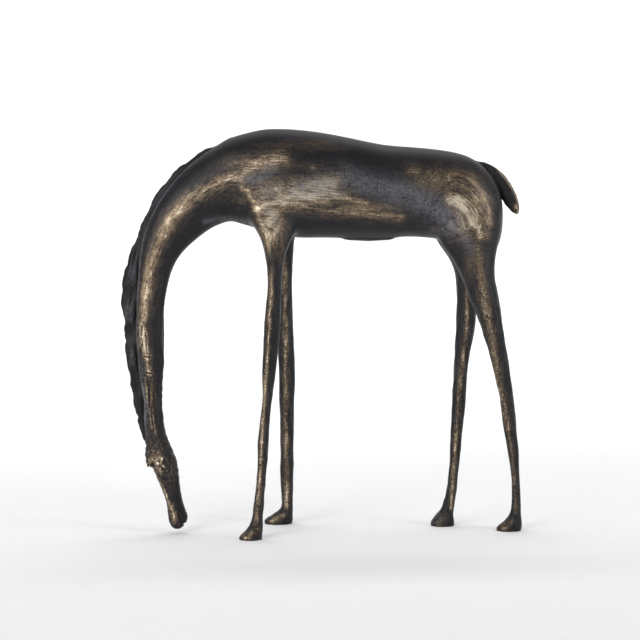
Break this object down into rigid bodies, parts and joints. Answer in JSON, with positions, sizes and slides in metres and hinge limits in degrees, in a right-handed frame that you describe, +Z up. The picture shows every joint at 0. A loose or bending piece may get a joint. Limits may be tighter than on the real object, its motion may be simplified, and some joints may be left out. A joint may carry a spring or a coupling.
{
  "type": "bronze statuette",
  "caption": "Free-standing statuette of a grazing horse on long thin legs, with its neck arched down to the ground, cast in bronze sections.",
  "frame": {"origin": "on the shelf, under the middle of the statuette's bounding box", "axes": "+Z up from the soles, the head and neck towards -X, the tail towards +X, the near (left) side towards -Y"},
  "size_m": [0.3538, 0.0884, 0.3561],
  "materials": {
    "patinated_bronze": "dark brown-black patina rubbed back to gold on the high places",
    "raw_bronze": "as cut, unpatinated"
  },
  "bodies": {
    "root": {"barrel_casting": "patinated_bronze", "neck_casting": "patinated_bronze", "head_casting": "patinated_bronze", "mane_strip": "patinated_bronze", "tail_blade": "patinated_bronze", "foreleg_near": "patinated_bronze", "foreleg_off": "patinated_bronze", "hindleg_near": "patinated_bronze", "hindleg_off": "patinated_bronze", "neck_collar": "raw_bronze", "neck_collar_pins": "raw_bronze", "head_dowel": "raw_bronze", "head_dowel_pins": "raw_bronze", "foreleg_pins": "raw_bronze", "hindleg_pins": "raw_bronze", "mane_pins": "raw_bronze", "tail_stud": "raw_bronze", "belly_core_plate": "patinated_bronze", "core_pin_plugs": "patinated_bronze"}
  },
  "joints": []
}
